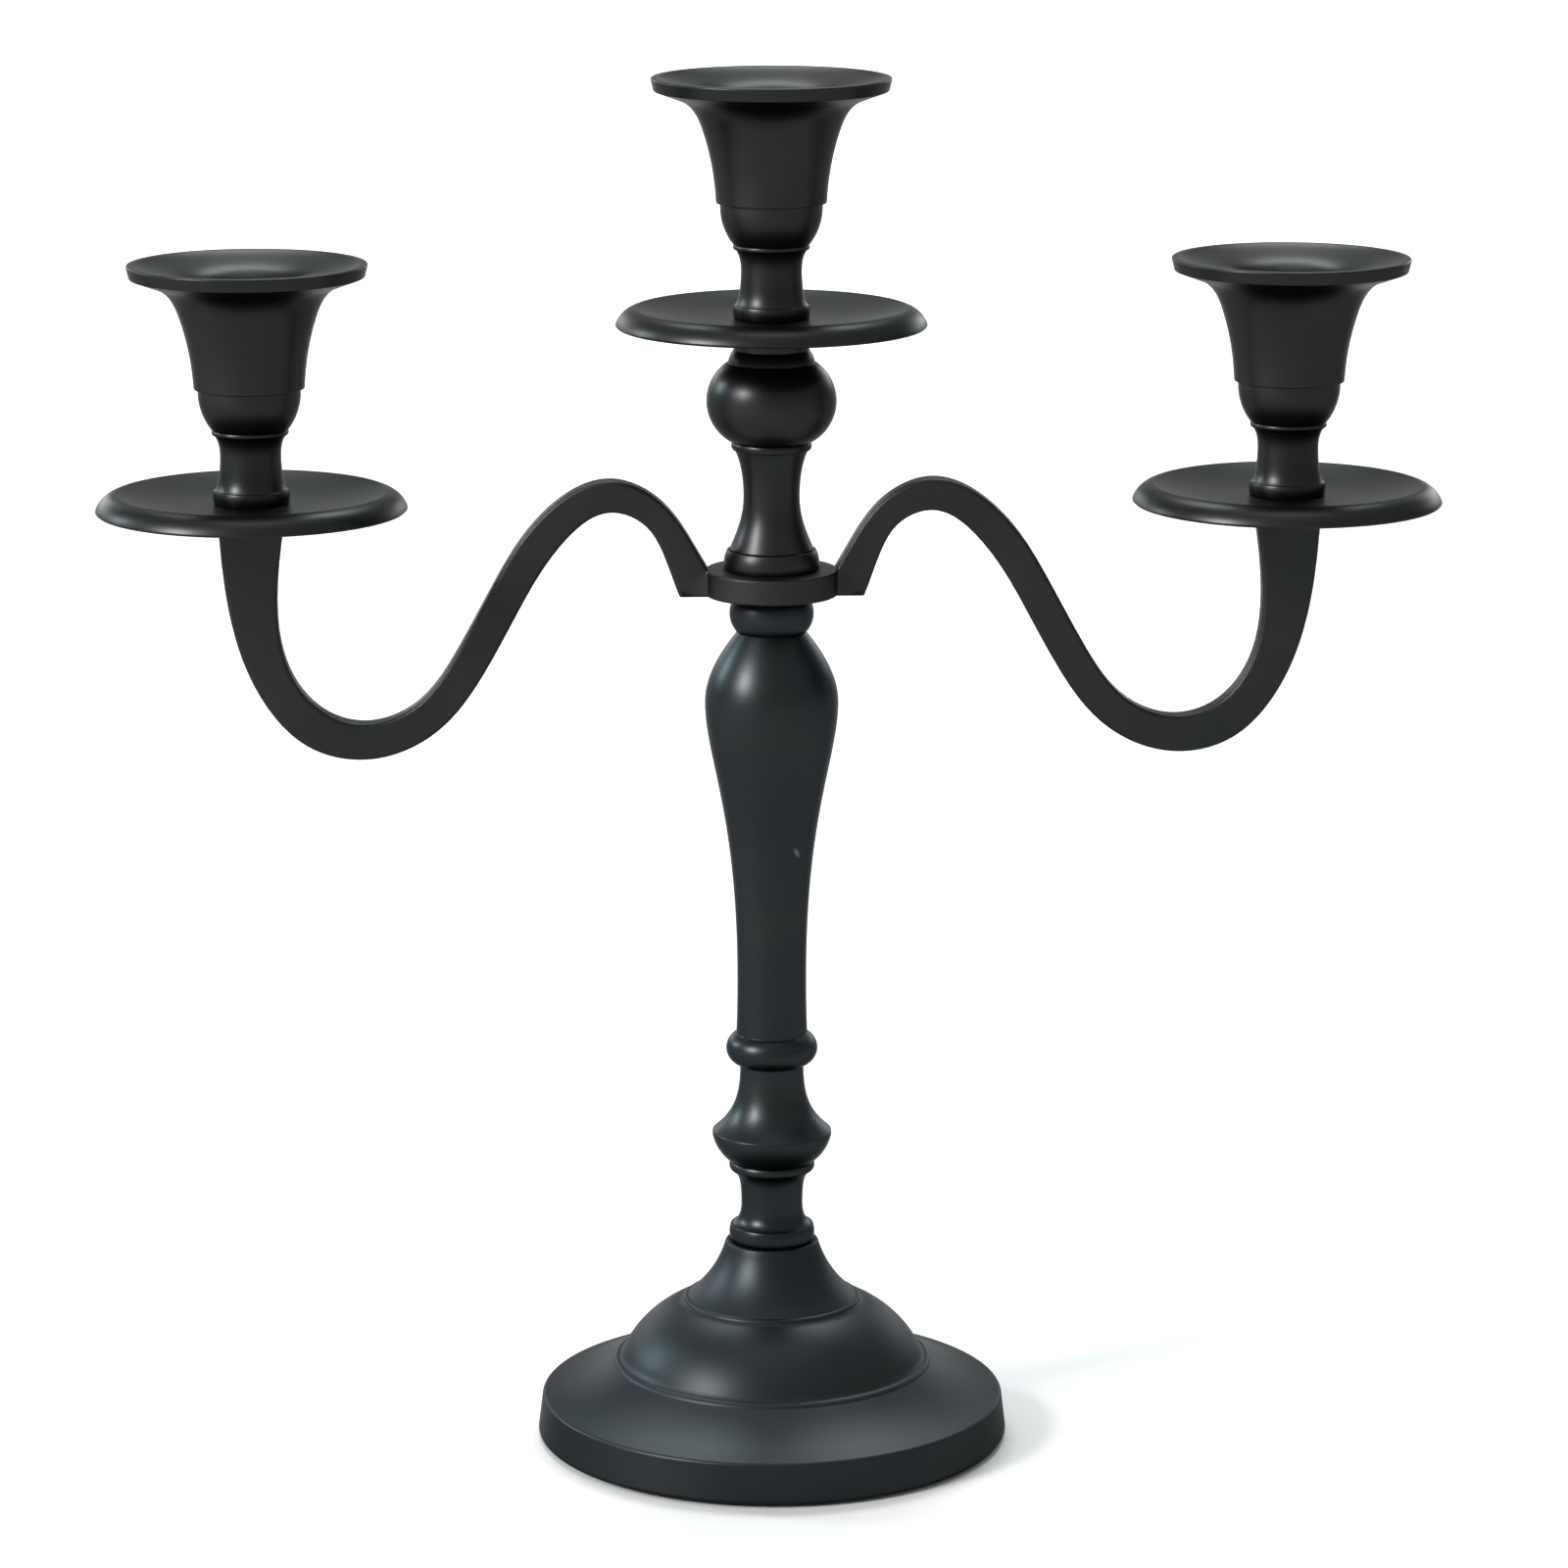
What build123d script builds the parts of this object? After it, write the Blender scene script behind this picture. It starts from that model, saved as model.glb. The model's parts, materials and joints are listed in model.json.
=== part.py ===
from build123d import *
import os

# Tabletop candelabra for three taper candles, in millimetres. The origin is on the table, on the
# column's axis. +Z is up and +X points along the right arm. Turned outlines are (radius, height).

# Foot: a cast bell in three steps, hollow underneath and closed by a pad
FOOT_HEIGHT = 40.0
FOOT_RADIUS = 46.7
FOOT_LEAN = 1.0  # how far the rim wall leans in
FOOT_RIM = 8.7  # height of the rim wall's top edge
FOOT_LIFT = 0.6  # the pad stands this far below the rim
FOOT_EDGE = 0.9  # rounding of the rim's edges
FOOT_WALL = 3.0
FLANGE_HOLLOW = 0.7  # how far the flange's top dips below a straight slope
DOME_RADIUS = 29.9
DOME_BASE = 15.9
DOME_SWELL = 1.6
CONE_RADIUS = 17.5
CONE_BASE = 27.6
CONE_HOLLOW = 1.1
CONE_TOP_RADIUS = 9.1
GROOVE = 0.45  # width and depth of the turned grooves between the steps
STEP_LIP = 1.7  # width of the rolled lip beside each groove
STEP_SWELL = 0.5
PAD_THICKNESS = 2.0
PAD_LEDGE = 2.0  # width of the ledge that the pad is glued to
PAD_GAP = 0.3

# Lower spool
LOWER_SPOOL_HEIGHT = 16.3
LOWER_SPOOL_RADIUS = 8.1
LOWER_SPOOL_WAIST = 6.1
LOWER_SPOOL_WAIST_HEIGHT = 9.1
LOWER_SPOOL_FOOT = 3.3  # height of the round bead at its foot
LOWER_SPOOL_LIP = 1.8  # height of the ring at its top
LOWER_SPOOL_SWELL = 0.35

# Knop
KNOP_HEIGHT = 19.7
KNOP_FOOT_RADIUS = 8.2
KNOP_RADIUS = 11.75
KNOP_EDGE_HEIGHT = 5.3
KNOP_EDGE = 0.9  # height of the flat on the widest edge
KNOP_ROUND = 0.4  # rounding above and below that flat
KNOP_SWELL = 0.6
KNOP_TOP_RADIUS = 6.25
KNOP_FLANK = 3.5  # height over which the upper side turns upright

# Shaft: a collar, a slim waist and a vase-shaped belly
SHAFT_HEIGHT = 86.8
SHAFT_FOOT_RADIUS = 6.3
COLLAR_RADIUS = 9.0
COLLAR_HEIGHT = 6.4
SHAFT_NECK_RADIUS = 7.0
SHAFT_WAIST_RADIUS = 6.78
SHAFT_WAIST_HEIGHT = 18.0
BELLY_RADIUS = 13.0
BELLY_DROP = 14.0  # from the shaft's top down to its widest place
SHAFT_TOP_RADIUS = 6.7
SHOULDER_RADIUS = 9.35  # where the belly's upper side turns in fastest

# Bead between the shaft and the arms
BEAD_HEIGHT = 7.3
BEAD_END_RADIUS = 6.8
BEAD_SWELL = 1.4

# Arm yoke: a ring on the column with an arm cast on each side
RING_RADIUS = 13.0
RING_HEIGHT = 5.0
RING_EDGE = 0.5
ARM_REACH = 100.0  # column axis to side candle axis
ARM_THICKNESS = 5.0
ARM_EDGE = 0.8
ROOT_REACH = 17.9  # outer corner of the flat root
ROOT_TOP_REACH = 12.2
LEG_OUT = 18.6
LEG_RISE = 10.2
LEG_DEPTH = 5.9
BEND_OUT = 22.7  # where the leg bends over into the hump
BEND_RISE = 16.0
BEND_DEPTH = 5.5
HUMP_OUT = 31.0
HUMP_RISE = 19.6
HUMP_DEPTH = 6.2
SLOPE_SHARES = ((0.232, 0.124), (0.428, 0.409), (0.585, 0.692), (0.75, 0.899))  # of the way out and down
SLOPE_DEPTH = 6.65
SAG_INSET = 21.6  # from the side candle axis back to the lowest place
SAG_DROP = 28.05
SAG_DEPTH = 7.1
TURN_OUT = 9.6  # from the lowest place out to where the arm turns up
TURN_RISE = 2.3
TURN_DEPTH = 7.5
HEEL_INSET = 5.1
HEEL_RISE = 9.35  # above the lowest place
HEEL_DEPTH = 7.35
CALF_RISE = 25.8
CALF_DEPTH = 9.3
SEAT_RISE = 17.2  # arm seat above the ring's underside
SEAT_WIDTH = 13.2

# Clamp ring and upper spool
CLAMP_RING_HEIGHT = 3.9
CLAMP_RING_RADIUS = 9.15
CLAMP_RING_TOP_RADIUS = 8.6
CLAMP_RING_SWELL = 0.35
UPPER_SPOOL_HEIGHT = 21.1
UPPER_SPOOL_FOOT_RADIUS = 8.2
UPPER_SPOOL_WAIST = 5.45
UPPER_SPOOL_RADIUS = 7.5
UPPER_SPOOL_LIP = 1.6
UPPER_SPOOL_SWELL = 0.3

# Ball under the centre pan
BALL_HEIGHT = 22.2
BALL_FOOT_RADIUS = 7.9
BALL_RADIUS = 12.55
BALL_SPAN = 15.2  # height of the round part
BALL_TOP_RADIUS = 8.7
SEAT_RING_LEDGE = 0.3  # the ring under the pan's seat stands this far in from the ball's end
SEAT_RING_HEIGHT = 2.6
SEAT_RING_SWELL = 0.2
PAN_SEAT_RADIUS = 7.3

# Drip pan
PAN_RADIUS = 30.0
PAN_THICKNESS = 1.6
PAN_FLOOR_RADIUS = 8.6  # flat middle
PAN_CREST_RADIUS = 26.0
PAN_CREST_RISE = 2.1  # crest above the floor
PAN_DISH = 0.55  # how far the dish dips below a straight slope
PAN_LIP_SWELL = 0.75
PAN_LIP_THICKNESS = 1.3
PAN_LIP_BEVEL = 0.4  # at the lip's lower outer edge

# Neck between pan and cup
NECK_HEIGHT = 14.3
NECK_RADIUS = 7.2
NECK_WAIST = 5.95
NECK_FOOT = 2.6
NECK_LIP = 1.0
NECK_SWELL = 0.22

# Candle cup
CUP_HEIGHT = 31.8
CUP_FOOT_RADIUS = 7.4
BOWL_RADIUS = 9.85
BOWL_HEIGHT = 7.9
BOWL_SWELL = 0.75
BELL_WALL = 0.87  # round the candle, at the bell's foot
BELL_MID_FLARE = 2.38  # how much wider than its foot the bell is in the middle of the flare
BELL_MID_DROP = 10.6  # from the rim's top down to the middle of the flare
BELL_MOUTH_RADIUS = 17.6
RIM_RADIUS = 23.1
RIM_LEAN = 0.6
RIM_BAND = 2.5
RIM_FLARE = 1.8  # how far the flange rises from the bell to the band
RIM_LAND = 1.5
RIM_EDGE = 0.35
SOCKET_RADIUS = 9.75  # for a candle of 19 mm
SOCKET_DEPTH = 14.5
SOCKET_FLOOR = 9.6  # above the cup's foot
CUP_SPIGOT_RADIUS = 3.9
CUP_SPIGOT_LENGTH = 3.0

# Threaded hardware and its clearances
THREAD_GAP = 0.05
PASS_GAP = 0.3  # hole that a rod or stud passes through
SWIVEL_GAP = 0.1  # ring that turns on the rod
SPIGOT_GAP = 0.05
HOLE_SPARE = 1.0  # a blind hole is this much deeper than what it holds
ROD_RADIUS = 3.0
ROD_ENGAGEMENT = 10.0  # thread in the upper spool
ROD_TAIL = 2.0  # rod below the nut
NUT_HEIGHT = 5.0
NUT_WALL = 2.0  # from the rod out to the nut's flats
WASHER_WIDTH = 2.7
WASHER_THICKNESS = 1.6
WASHER_RADIUS = ROD_RADIUS + PASS_GAP + WASHER_WIDTH
NUT_SEAT = 23.5  # underside of the foot's boss
NUT_POCKET_GAP = 5.0  # room for a spanner round the washer
STUD_RADIUS = 1.5
STUD_HOLD = 10.0  # stud fixed in an arm
STUD_HOLD_CENTRE = 7.5  # stud fixed in the upper spool
STUD_ENGAGEMENT = 8.0  # thread in a cup neck

# Heights of the stack, worked out from the pieces
LOWER_SPOOL_Z = FOOT_HEIGHT
KNOP_Z = LOWER_SPOOL_Z + LOWER_SPOOL_HEIGHT
SHAFT_Z = KNOP_Z + KNOP_HEIGHT
BEAD_Z = SHAFT_Z + SHAFT_HEIGHT
RING_Z = BEAD_Z + BEAD_HEIGHT
CLAMP_RING_Z = RING_Z + RING_HEIGHT
UPPER_SPOOL_Z = CLAMP_RING_Z + CLAMP_RING_HEIGHT
BALL_Z = UPPER_SPOOL_Z + UPPER_SPOOL_HEIGHT
CENTRE_SEAT_Z = BALL_Z + BALL_HEIGHT
SIDE_SEAT_Z = RING_Z + SEAT_RISE


def turned(*curves):
    """Solid of revolution inside a run of joined curves that goes from bottom to top."""
    low = curves[0] @ 0
    high = curves[-1] @ 1
    closing = Polyline(high, (0, high.Y), (0, low.Y), low)
    edges = [edge for curve in (*curves, closing) for edge in curve.edges()]
    return revolve(Plane.XZ * make_face(edges), Axis.Z)


def swelling(start, end, height):
    """Arc that bulges away from the axis, or towards it where the height is negative."""
    return SagittaArc(start, end, -height)


def round_bar(radius, low, high):
    """Cylinder on the axis between two heights, for a round bar or a hole."""
    return Pos(0, 0, low) * Cylinder(radius, high - low, align=(Align.CENTER, Align.CENTER, Align.MIN))


def build_foot():
    rim_low = (FOOT_RADIUS, FOOT_LIFT)
    rim_high = (FOOT_RADIUS - FOOT_LEAN, FOOT_RIM)
    flange_end = (DOME_RADIUS + STEP_LIP, DOME_BASE - STEP_LIP / 2)
    dome_groove = (DOME_RADIUS - GROOVE / 2, DOME_BASE - GROOVE / 2)
    dome_start = (DOME_RADIUS, DOME_BASE + GROOVE)
    dome_end = (CONE_RADIUS + GROOVE, CONE_BASE - GROOVE / 2)
    cone_groove = (CONE_RADIUS - GROOVE / 2, CONE_BASE - GROOVE)
    cone_start = (CONE_RADIUS - STEP_LIP / 2, CONE_BASE + STEP_LIP / 2)
    body = turned(
        Line(rim_low, rim_high),
        swelling(rim_high, flange_end, -FLANGE_HOLLOW),
        swelling(flange_end, dome_groove, STEP_SWELL),
        Line(dome_groove, dome_start),
        swelling(dome_start, dome_end, DOME_SWELL),
        Line(dome_end, cone_groove),
        swelling(cone_groove, cone_start, STEP_SWELL),
        swelling(cone_start, (CONE_TOP_RADIUS, FOOT_HEIGHT), -CONE_HOLLOW),
    )
    rim_edges = body.edges().filter_by(GeomType.CIRCLE).group_by(SortBy.RADIUS)[-2:]
    body = fillet([edge for group in rim_edges for edge in group], FOOT_EDGE)
    recess_radius = FOOT_RADIUS - FOOT_LEAN - FOOT_WALL + PAD_LEDGE / 2
    hollow_radius = recess_radius - PAD_LEDGE
    dome_hollow = (DOME_RADIUS - FOOT_WALL, DOME_BASE - FOOT_WALL)
    pocket_edge = (WASHER_RADIUS + NUT_POCKET_GAP, NUT_SEAT)
    recess = round_bar(recess_radius, 0, PAD_THICKNESS)
    hollow = turned(
        Line((hollow_radius, 0), (hollow_radius, FOOT_RIM - FOOT_WALL)),
        Line((hollow_radius, FOOT_RIM - FOOT_WALL), dome_hollow),
        swelling(dome_hollow, pocket_edge, DOME_SWELL),
    )
    return body - recess - hollow - round_bar(ROD_RADIUS + PASS_GAP, 0, FOOT_HEIGHT)


def build_pad():
    radius = FOOT_RADIUS - FOOT_LEAN - FOOT_WALL + PAD_LEDGE / 2 - PAD_GAP
    return round_bar(radius, 0, PAD_THICKNESS)


def build_washer():
    disc = round_bar(WASHER_RADIUS, NUT_SEAT - WASHER_THICKNESS, NUT_SEAT)
    return disc - round_bar(ROD_RADIUS + PASS_GAP, 0, NUT_SEAT)


def build_nut():
    top = NUT_SEAT - WASHER_THICKNESS
    outline = RegularPolygon(ROD_RADIUS + NUT_WALL, 6, major_radius=False)
    body = Pos(0, 0, top - NUT_HEIGHT) * extrude(outline, NUT_HEIGHT)
    return body - round_bar(ROD_RADIUS + THREAD_GAP, 0, top)


def build_rod():
    low = NUT_SEAT - WASHER_THICKNESS - NUT_HEIGHT - ROD_TAIL
    return round_bar(ROD_RADIUS, low, UPPER_SPOOL_Z + ROD_ENGAGEMENT)


def build_lower_spool():
    bead_top = (LOWER_SPOOL_RADIUS, LOWER_SPOOL_FOOT)
    waist = (LOWER_SPOOL_WAIST, LOWER_SPOOL_WAIST_HEIGHT)
    lip = (LOWER_SPOOL_RADIUS, LOWER_SPOOL_HEIGHT - LOWER_SPOOL_LIP)
    cove_start = (LOWER_SPOOL_RADIUS - LOWER_SPOOL_SWELL, LOWER_SPOOL_FOOT)
    cove_end = (LOWER_SPOOL_RADIUS - LOWER_SPOOL_SWELL, LOWER_SPOOL_HEIGHT - LOWER_SPOOL_LIP)
    leaving = (-1, 0.7)  # direction of the cove where it leaves the bead
    arriving = (1, 0.9)
    body = turned(
        swelling((LOWER_SPOOL_RADIUS, 0), bead_top, LOWER_SPOOL_SWELL),
        Line(bead_top, cove_start),
        Spline(cove_start, waist, cove_end, tangents=(leaving, arriving)),
        Line(cove_end, lip),
        swelling(lip, (LOWER_SPOOL_RADIUS, LOWER_SPOOL_HEIGHT), LOWER_SPOOL_SWELL),
    )
    return Pos(0, 0, LOWER_SPOOL_Z) * (body - round_bar(ROD_RADIUS + PASS_GAP, 0, LOWER_SPOOL_HEIGHT))


def build_knop():
    edge_low = (KNOP_RADIUS, KNOP_EDGE_HEIGHT)
    edge_high = (KNOP_RADIUS, KNOP_EDGE_HEIGHT + KNOP_EDGE)
    top = (KNOP_TOP_RADIUS, KNOP_HEIGHT)
    bend_low = (KNOP_TOP_RADIUS + KNOP_FLANK / 3, edge_high[1] + KNOP_FLANK)
    bend_high = (KNOP_TOP_RADIUS, edge_high[1] + 2 * KNOP_FLANK)
    body = turned(
        swelling((KNOP_FOOT_RADIUS, 0), edge_low, KNOP_SWELL),
        Line(edge_low, edge_high),
        Bezier(edge_high, bend_low, bend_high, top),
    )
    widest = body.edges().filter_by(GeomType.CIRCLE).group_by(SortBy.RADIUS)[-1]
    body = fillet(widest, KNOP_ROUND)
    return Pos(0, 0, KNOP_Z) * (body - round_bar(ROD_RADIUS + PASS_GAP, 0, KNOP_HEIGHT))


def build_shaft():
    collar_end = (SHAFT_NECK_RADIUS, COLLAR_HEIGHT)
    waist = (SHAFT_WAIST_RADIUS, SHAFT_WAIST_HEIGHT)
    belly_height = SHAFT_HEIGHT - BELLY_DROP
    belly = (BELLY_RADIUS, belly_height)
    rise = belly_height - SHAFT_WAIST_HEIGHT
    straight_share = 0.6  # the waist stays slim over this share of the rise
    belly_share = 0.8  # the belly is nearly full from this share of the rise
    full_share = 0.4  # the belly stays full over this share of its upper side
    shoulder_share = 0.76
    neck_leaning = (-0.05, 1)  # the collar's neck still narrows a little upwards
    body = turned(
        ThreePointArc((SHAFT_FOOT_RADIUS, 0), (COLLAR_RADIUS, COLLAR_HEIGHT / 2), collar_end),
        Spline(collar_end, waist, tangents=(neck_leaning, (0, 1))),
        Bezier(
            waist,
            (SHAFT_WAIST_RADIUS, SHAFT_WAIST_HEIGHT + straight_share * rise),
            (BELLY_RADIUS, SHAFT_WAIST_HEIGHT + belly_share * rise),
            belly,
        ),
        Bezier(
            belly,
            (BELLY_RADIUS, belly_height + full_share * BELLY_DROP),
            (SHOULDER_RADIUS, belly_height + shoulder_share * BELLY_DROP),
            (SHAFT_TOP_RADIUS, SHAFT_HEIGHT),
        ),
    )
    return Pos(0, 0, SHAFT_Z) * (body - round_bar(ROD_RADIUS + PASS_GAP, 0, SHAFT_HEIGHT))


def build_bead():
    body = turned(swelling((BEAD_END_RADIUS, 0), (BEAD_END_RADIUS, BEAD_HEIGHT), BEAD_SWELL))
    return Pos(0, 0, BEAD_Z) * (body - round_bar(ROD_RADIUS + THREAD_GAP, 0, BEAD_HEIGHT))


def arm_outline():
    """Side view of the right arm, with heights counted from the ring's underside."""
    hump = Vector(HUMP_OUT, HUMP_RISE)
    sag = Vector(ARM_REACH - SAG_INSET, -SAG_DROP)
    seat = Vector(ARM_REACH, SEAT_RISE)
    fall = sag - hump
    slope = [hump + Vector(out * fall.X, down * fall.Y) for out, down in SLOPE_SHARES]
    middles = [
        (Vector(LEG_OUT, LEG_RISE), LEG_DEPTH),
        (Vector(BEND_OUT, BEND_RISE), BEND_DEPTH),
        (hump, HUMP_DEPTH),
        *[(place, SLOPE_DEPTH) for place in slope],
        (sag, SAG_DEPTH),
        (sag + Vector(TURN_OUT, TURN_RISE), TURN_DEPTH),
        (sag + Vector(SAG_INSET - HEEL_INSET, HEEL_RISE), HEEL_DEPTH),
        (sag + Vector(SAG_INSET, CALF_RISE), CALF_DEPTH),
        (seat, SEAT_WIDTH),
    ]
    root = Vector((ROOT_REACH + ROOT_TOP_REACH) / 2, RING_HEIGHT / 2)
    above_seat = seat + Vector(0, SEAT_RISE)
    places = [root, *[place for place, depth in middles], above_seat]
    upper = [Vector(ROOT_TOP_REACH, RING_HEIGHT)]
    lower = [Vector(ROOT_REACH, 0)]
    for before, (place, depth), after in zip(places, middles, places[2:]):
        arriving = place - before
        leaving = after - place
        # direction of the parabola through the three places
        along = arriving.normalized() * leaving.length + leaving.normalized() * arriving.length
        across = Vector(-along.Y, along.X).normalized() * (depth / 2)
        upper.append(place + across)
        lower.append(place - across)
    edges = [
        Line((0, 0), lower[0]),
        Spline(*lower),
        Line(lower[-1], upper[-1]),
        Spline(*upper[::-1]),
        Line(upper[0], (0, RING_HEIGHT)),
        Line((0, RING_HEIGHT), (0, 0)),
    ]
    return make_face(edges)


def build_arm_yoke():
    back = Plane.XZ.offset(-ARM_THICKNESS / 2)
    arm = extrude(back * arm_outline(), ARM_THICKNESS)
    arm = fillet(arm.edges().filter_by(GeomType.BSPLINE), ARM_EDGE)
    arm -= Pos(ARM_REACH, 0, 0) * round_bar(STUD_RADIUS + THREAD_GAP, SEAT_RISE - STUD_HOLD, SEAT_RISE)
    ring = round_bar(RING_RADIUS, 0, RING_HEIGHT)
    ring = fillet(ring.edges().filter_by(GeomType.CIRCLE), RING_EDGE)
    yoke = ring + arm + mirror(arm, Plane.YZ)
    return Pos(0, 0, RING_Z) * (yoke - round_bar(ROD_RADIUS + SWIVEL_GAP, 0, RING_HEIGHT))


def build_clamp_ring():
    body = turned(
        swelling((CLAMP_RING_RADIUS, 0), (CLAMP_RING_TOP_RADIUS, CLAMP_RING_HEIGHT), CLAMP_RING_SWELL)
    )
    return Pos(0, 0, CLAMP_RING_Z) * (body - round_bar(ROD_RADIUS + SWIVEL_GAP, 0, CLAMP_RING_HEIGHT))


def build_upper_spool():
    lip_base = UPPER_SPOOL_HEIGHT - UPPER_SPOOL_LIP
    waist = (UPPER_SPOOL_WAIST, UPPER_SPOOL_HEIGHT / 2)
    cove_end = (UPPER_SPOOL_RADIUS - UPPER_SPOOL_SWELL, lip_base)
    lip = (UPPER_SPOOL_RADIUS, lip_base)
    cove_rise = lip_base - waist[1]
    foot_flare = (UPPER_SPOOL_FOOT_RADIUS - UPPER_SPOOL_WAIST) / 3
    lip_flare = (cove_end[0] - UPPER_SPOOL_WAIST) / 2
    flare_share = 0.4  # the foot's flare ends at this share of the way up to the waist
    upright_share = 0.64  # and the side stands upright from this share
    slim_share = 0.47  # the waist stays slim over this share of the cove
    opening_share = 0.84  # the cove opens towards the lip from this share
    body = turned(
        Bezier(
            (UPPER_SPOOL_FOOT_RADIUS, 0),
            (UPPER_SPOOL_WAIST + foot_flare, flare_share * waist[1]),
            (UPPER_SPOOL_WAIST, upright_share * waist[1]),
            waist,
        ),
        Bezier(
            waist,
            (UPPER_SPOOL_WAIST, waist[1] + slim_share * cove_rise),
            (UPPER_SPOOL_WAIST + lip_flare, waist[1] + opening_share * cove_rise),
            cove_end,
        ),
        Line(cove_end, lip),
        swelling(lip, (UPPER_SPOOL_RADIUS, UPPER_SPOOL_HEIGHT), UPPER_SPOOL_SWELL),
    )
    body -= round_bar(ROD_RADIUS + THREAD_GAP, 0, ROD_ENGAGEMENT + HOLE_SPARE)
    body -= round_bar(STUD_RADIUS + THREAD_GAP, UPPER_SPOOL_HEIGHT - STUD_HOLD_CENTRE, UPPER_SPOOL_HEIGHT)
    return Pos(0, 0, UPPER_SPOOL_Z) * body


def build_ball():
    ball_end = (BALL_TOP_RADIUS, BALL_SPAN)
    ring_base = (BALL_TOP_RADIUS - SEAT_RING_LEDGE, BALL_SPAN)
    ring_top = (PAN_SEAT_RADIUS, BALL_SPAN + SEAT_RING_HEIGHT)
    body = turned(
        ThreePointArc((BALL_FOOT_RADIUS, 0), (BALL_RADIUS, BALL_SPAN / 2), ball_end),
        Line(ball_end, ring_base),
        swelling(ring_base, ring_top, SEAT_RING_SWELL),
        Line(ring_top, (PAN_SEAT_RADIUS, BALL_HEIGHT)),
    )
    return Pos(0, 0, BALL_Z) * (body - round_bar(STUD_RADIUS + PASS_GAP, 0, BALL_HEIGHT))


def build_stud(x, seat, hold):
    grip = seat + PAN_THICKNESS + STUD_ENGAGEMENT
    return Pos(x, 0, 0) * round_bar(STUD_RADIUS, seat - hold, grip)


def build_pan(x, seat):
    crest = (PAN_CREST_RADIUS, PAN_THICKNESS + PAN_CREST_RISE)
    lip = (PAN_RADIUS, PAN_LIP_BEVEL)
    bevel = (PAN_RADIUS - PAN_LIP_BEVEL, 0)
    under_crest = (PAN_CREST_RADIUS, PAN_CREST_RISE)
    under_lip = (PAN_RADIUS - PAN_LIP_THICKNESS, 0)
    floor_edge = (PAN_FLOOR_RADIUS, PAN_THICKNESS)
    under_edge = (PAN_FLOOR_RADIUS, 0)
    outline = [
        Line((0, 0), under_edge),
        swelling(under_edge, under_crest, PAN_DISH),
        swelling(under_crest, under_lip, PAN_LIP_SWELL),
        Line(under_lip, bevel),
        Line(bevel, lip),
        swelling(lip, crest, PAN_LIP_SWELL),
        swelling(crest, floor_edge, -PAN_DISH),
        Polyline(floor_edge, (0, PAN_THICKNESS), (0, 0)),
    ]
    edges = [edge for curve in outline for edge in curve.edges()]
    body = revolve(Plane.XZ * make_face(edges), Axis.Z)
    return Pos(x, 0, seat) * (body - round_bar(STUD_RADIUS + PASS_GAP, 0, PAN_THICKNESS))


def build_neck(x, seat):
    foot_top = (NECK_RADIUS, NECK_FOOT)
    cove_start = (NECK_RADIUS - NECK_SWELL, NECK_FOOT)
    waist = (NECK_WAIST, NECK_HEIGHT / 2)
    cove_end = (NECK_RADIUS - NECK_SWELL, NECK_HEIGHT - NECK_LIP)
    lip = (NECK_RADIUS, NECK_HEIGHT - NECK_LIP)
    leaving = (-0.6, 1)  # direction of the cove where it leaves the foot
    arriving = (0.8, 1)
    body = turned(
        swelling((NECK_RADIUS, 0), foot_top, NECK_SWELL),
        Line(foot_top, cove_start),
        Spline(cove_start, waist, cove_end, tangents=(leaving, arriving)),
        Line(cove_end, lip),
        swelling(lip, (NECK_RADIUS, NECK_HEIGHT), NECK_SWELL),
    )
    body -= round_bar(STUD_RADIUS + THREAD_GAP, 0, STUD_ENGAGEMENT + HOLE_SPARE)
    socket_floor = NECK_HEIGHT - CUP_SPIGOT_LENGTH
    body -= round_bar(CUP_SPIGOT_RADIUS + SPIGOT_GAP, socket_floor, NECK_HEIGHT)
    return Pos(x, 0, seat + PAN_THICKNESS) * body


def build_cup(x, seat):
    bowl_end = (BOWL_RADIUS, BOWL_HEIGHT)
    bell_radius = SOCKET_RADIUS + BELL_WALL
    bell_start = (bell_radius, BOWL_HEIGHT)
    bell_mouth = (BELL_MOUTH_RADIUS, CUP_HEIGHT - RIM_BAND - RIM_FLARE)
    bell_middle = (bell_radius + BELL_MID_FLARE, CUP_HEIGHT - BELL_MID_DROP)
    band_low = (RIM_RADIUS - RIM_LEAN, CUP_HEIGHT - RIM_BAND)
    band_high = (RIM_RADIUS, CUP_HEIGHT)
    bell_rising = (0.06, 1)  # direction of the bell's wall at its foot
    bell_opening = (1, 0.4)  # and at its mouth
    body = turned(
        swelling((CUP_FOOT_RADIUS, 0), bowl_end, BOWL_SWELL),
        Line(bowl_end, bell_start),
        Spline(bell_start, bell_middle, bell_mouth, tangents=(bell_rising, bell_opening)),
        Line(bell_mouth, band_low),
        Line(band_low, band_high),
    )
    mouth_base = SOCKET_FLOOR + SOCKET_DEPTH
    rim_inner = (RIM_RADIUS - RIM_LAND, CUP_HEIGHT)
    socket_top = (SOCKET_RADIUS, mouth_base)
    mouth_opening = (1, 0.45)
    body -= turned(
        Line((SOCKET_RADIUS, SOCKET_FLOOR), socket_top),
        Spline(socket_top, rim_inner, tangents=((0, 1), mouth_opening)),
    )
    rim_edges = body.edges().filter_by(GeomType.CIRCLE).group_by(Axis.Z)[-1]
    body = fillet(rim_edges, RIM_EDGE)
    body += round_bar(CUP_SPIGOT_RADIUS, -CUP_SPIGOT_LENGTH, 0)
    return Pos(x, 0, seat + PAN_THICKNESS + NECK_HEIGHT) * body


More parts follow.
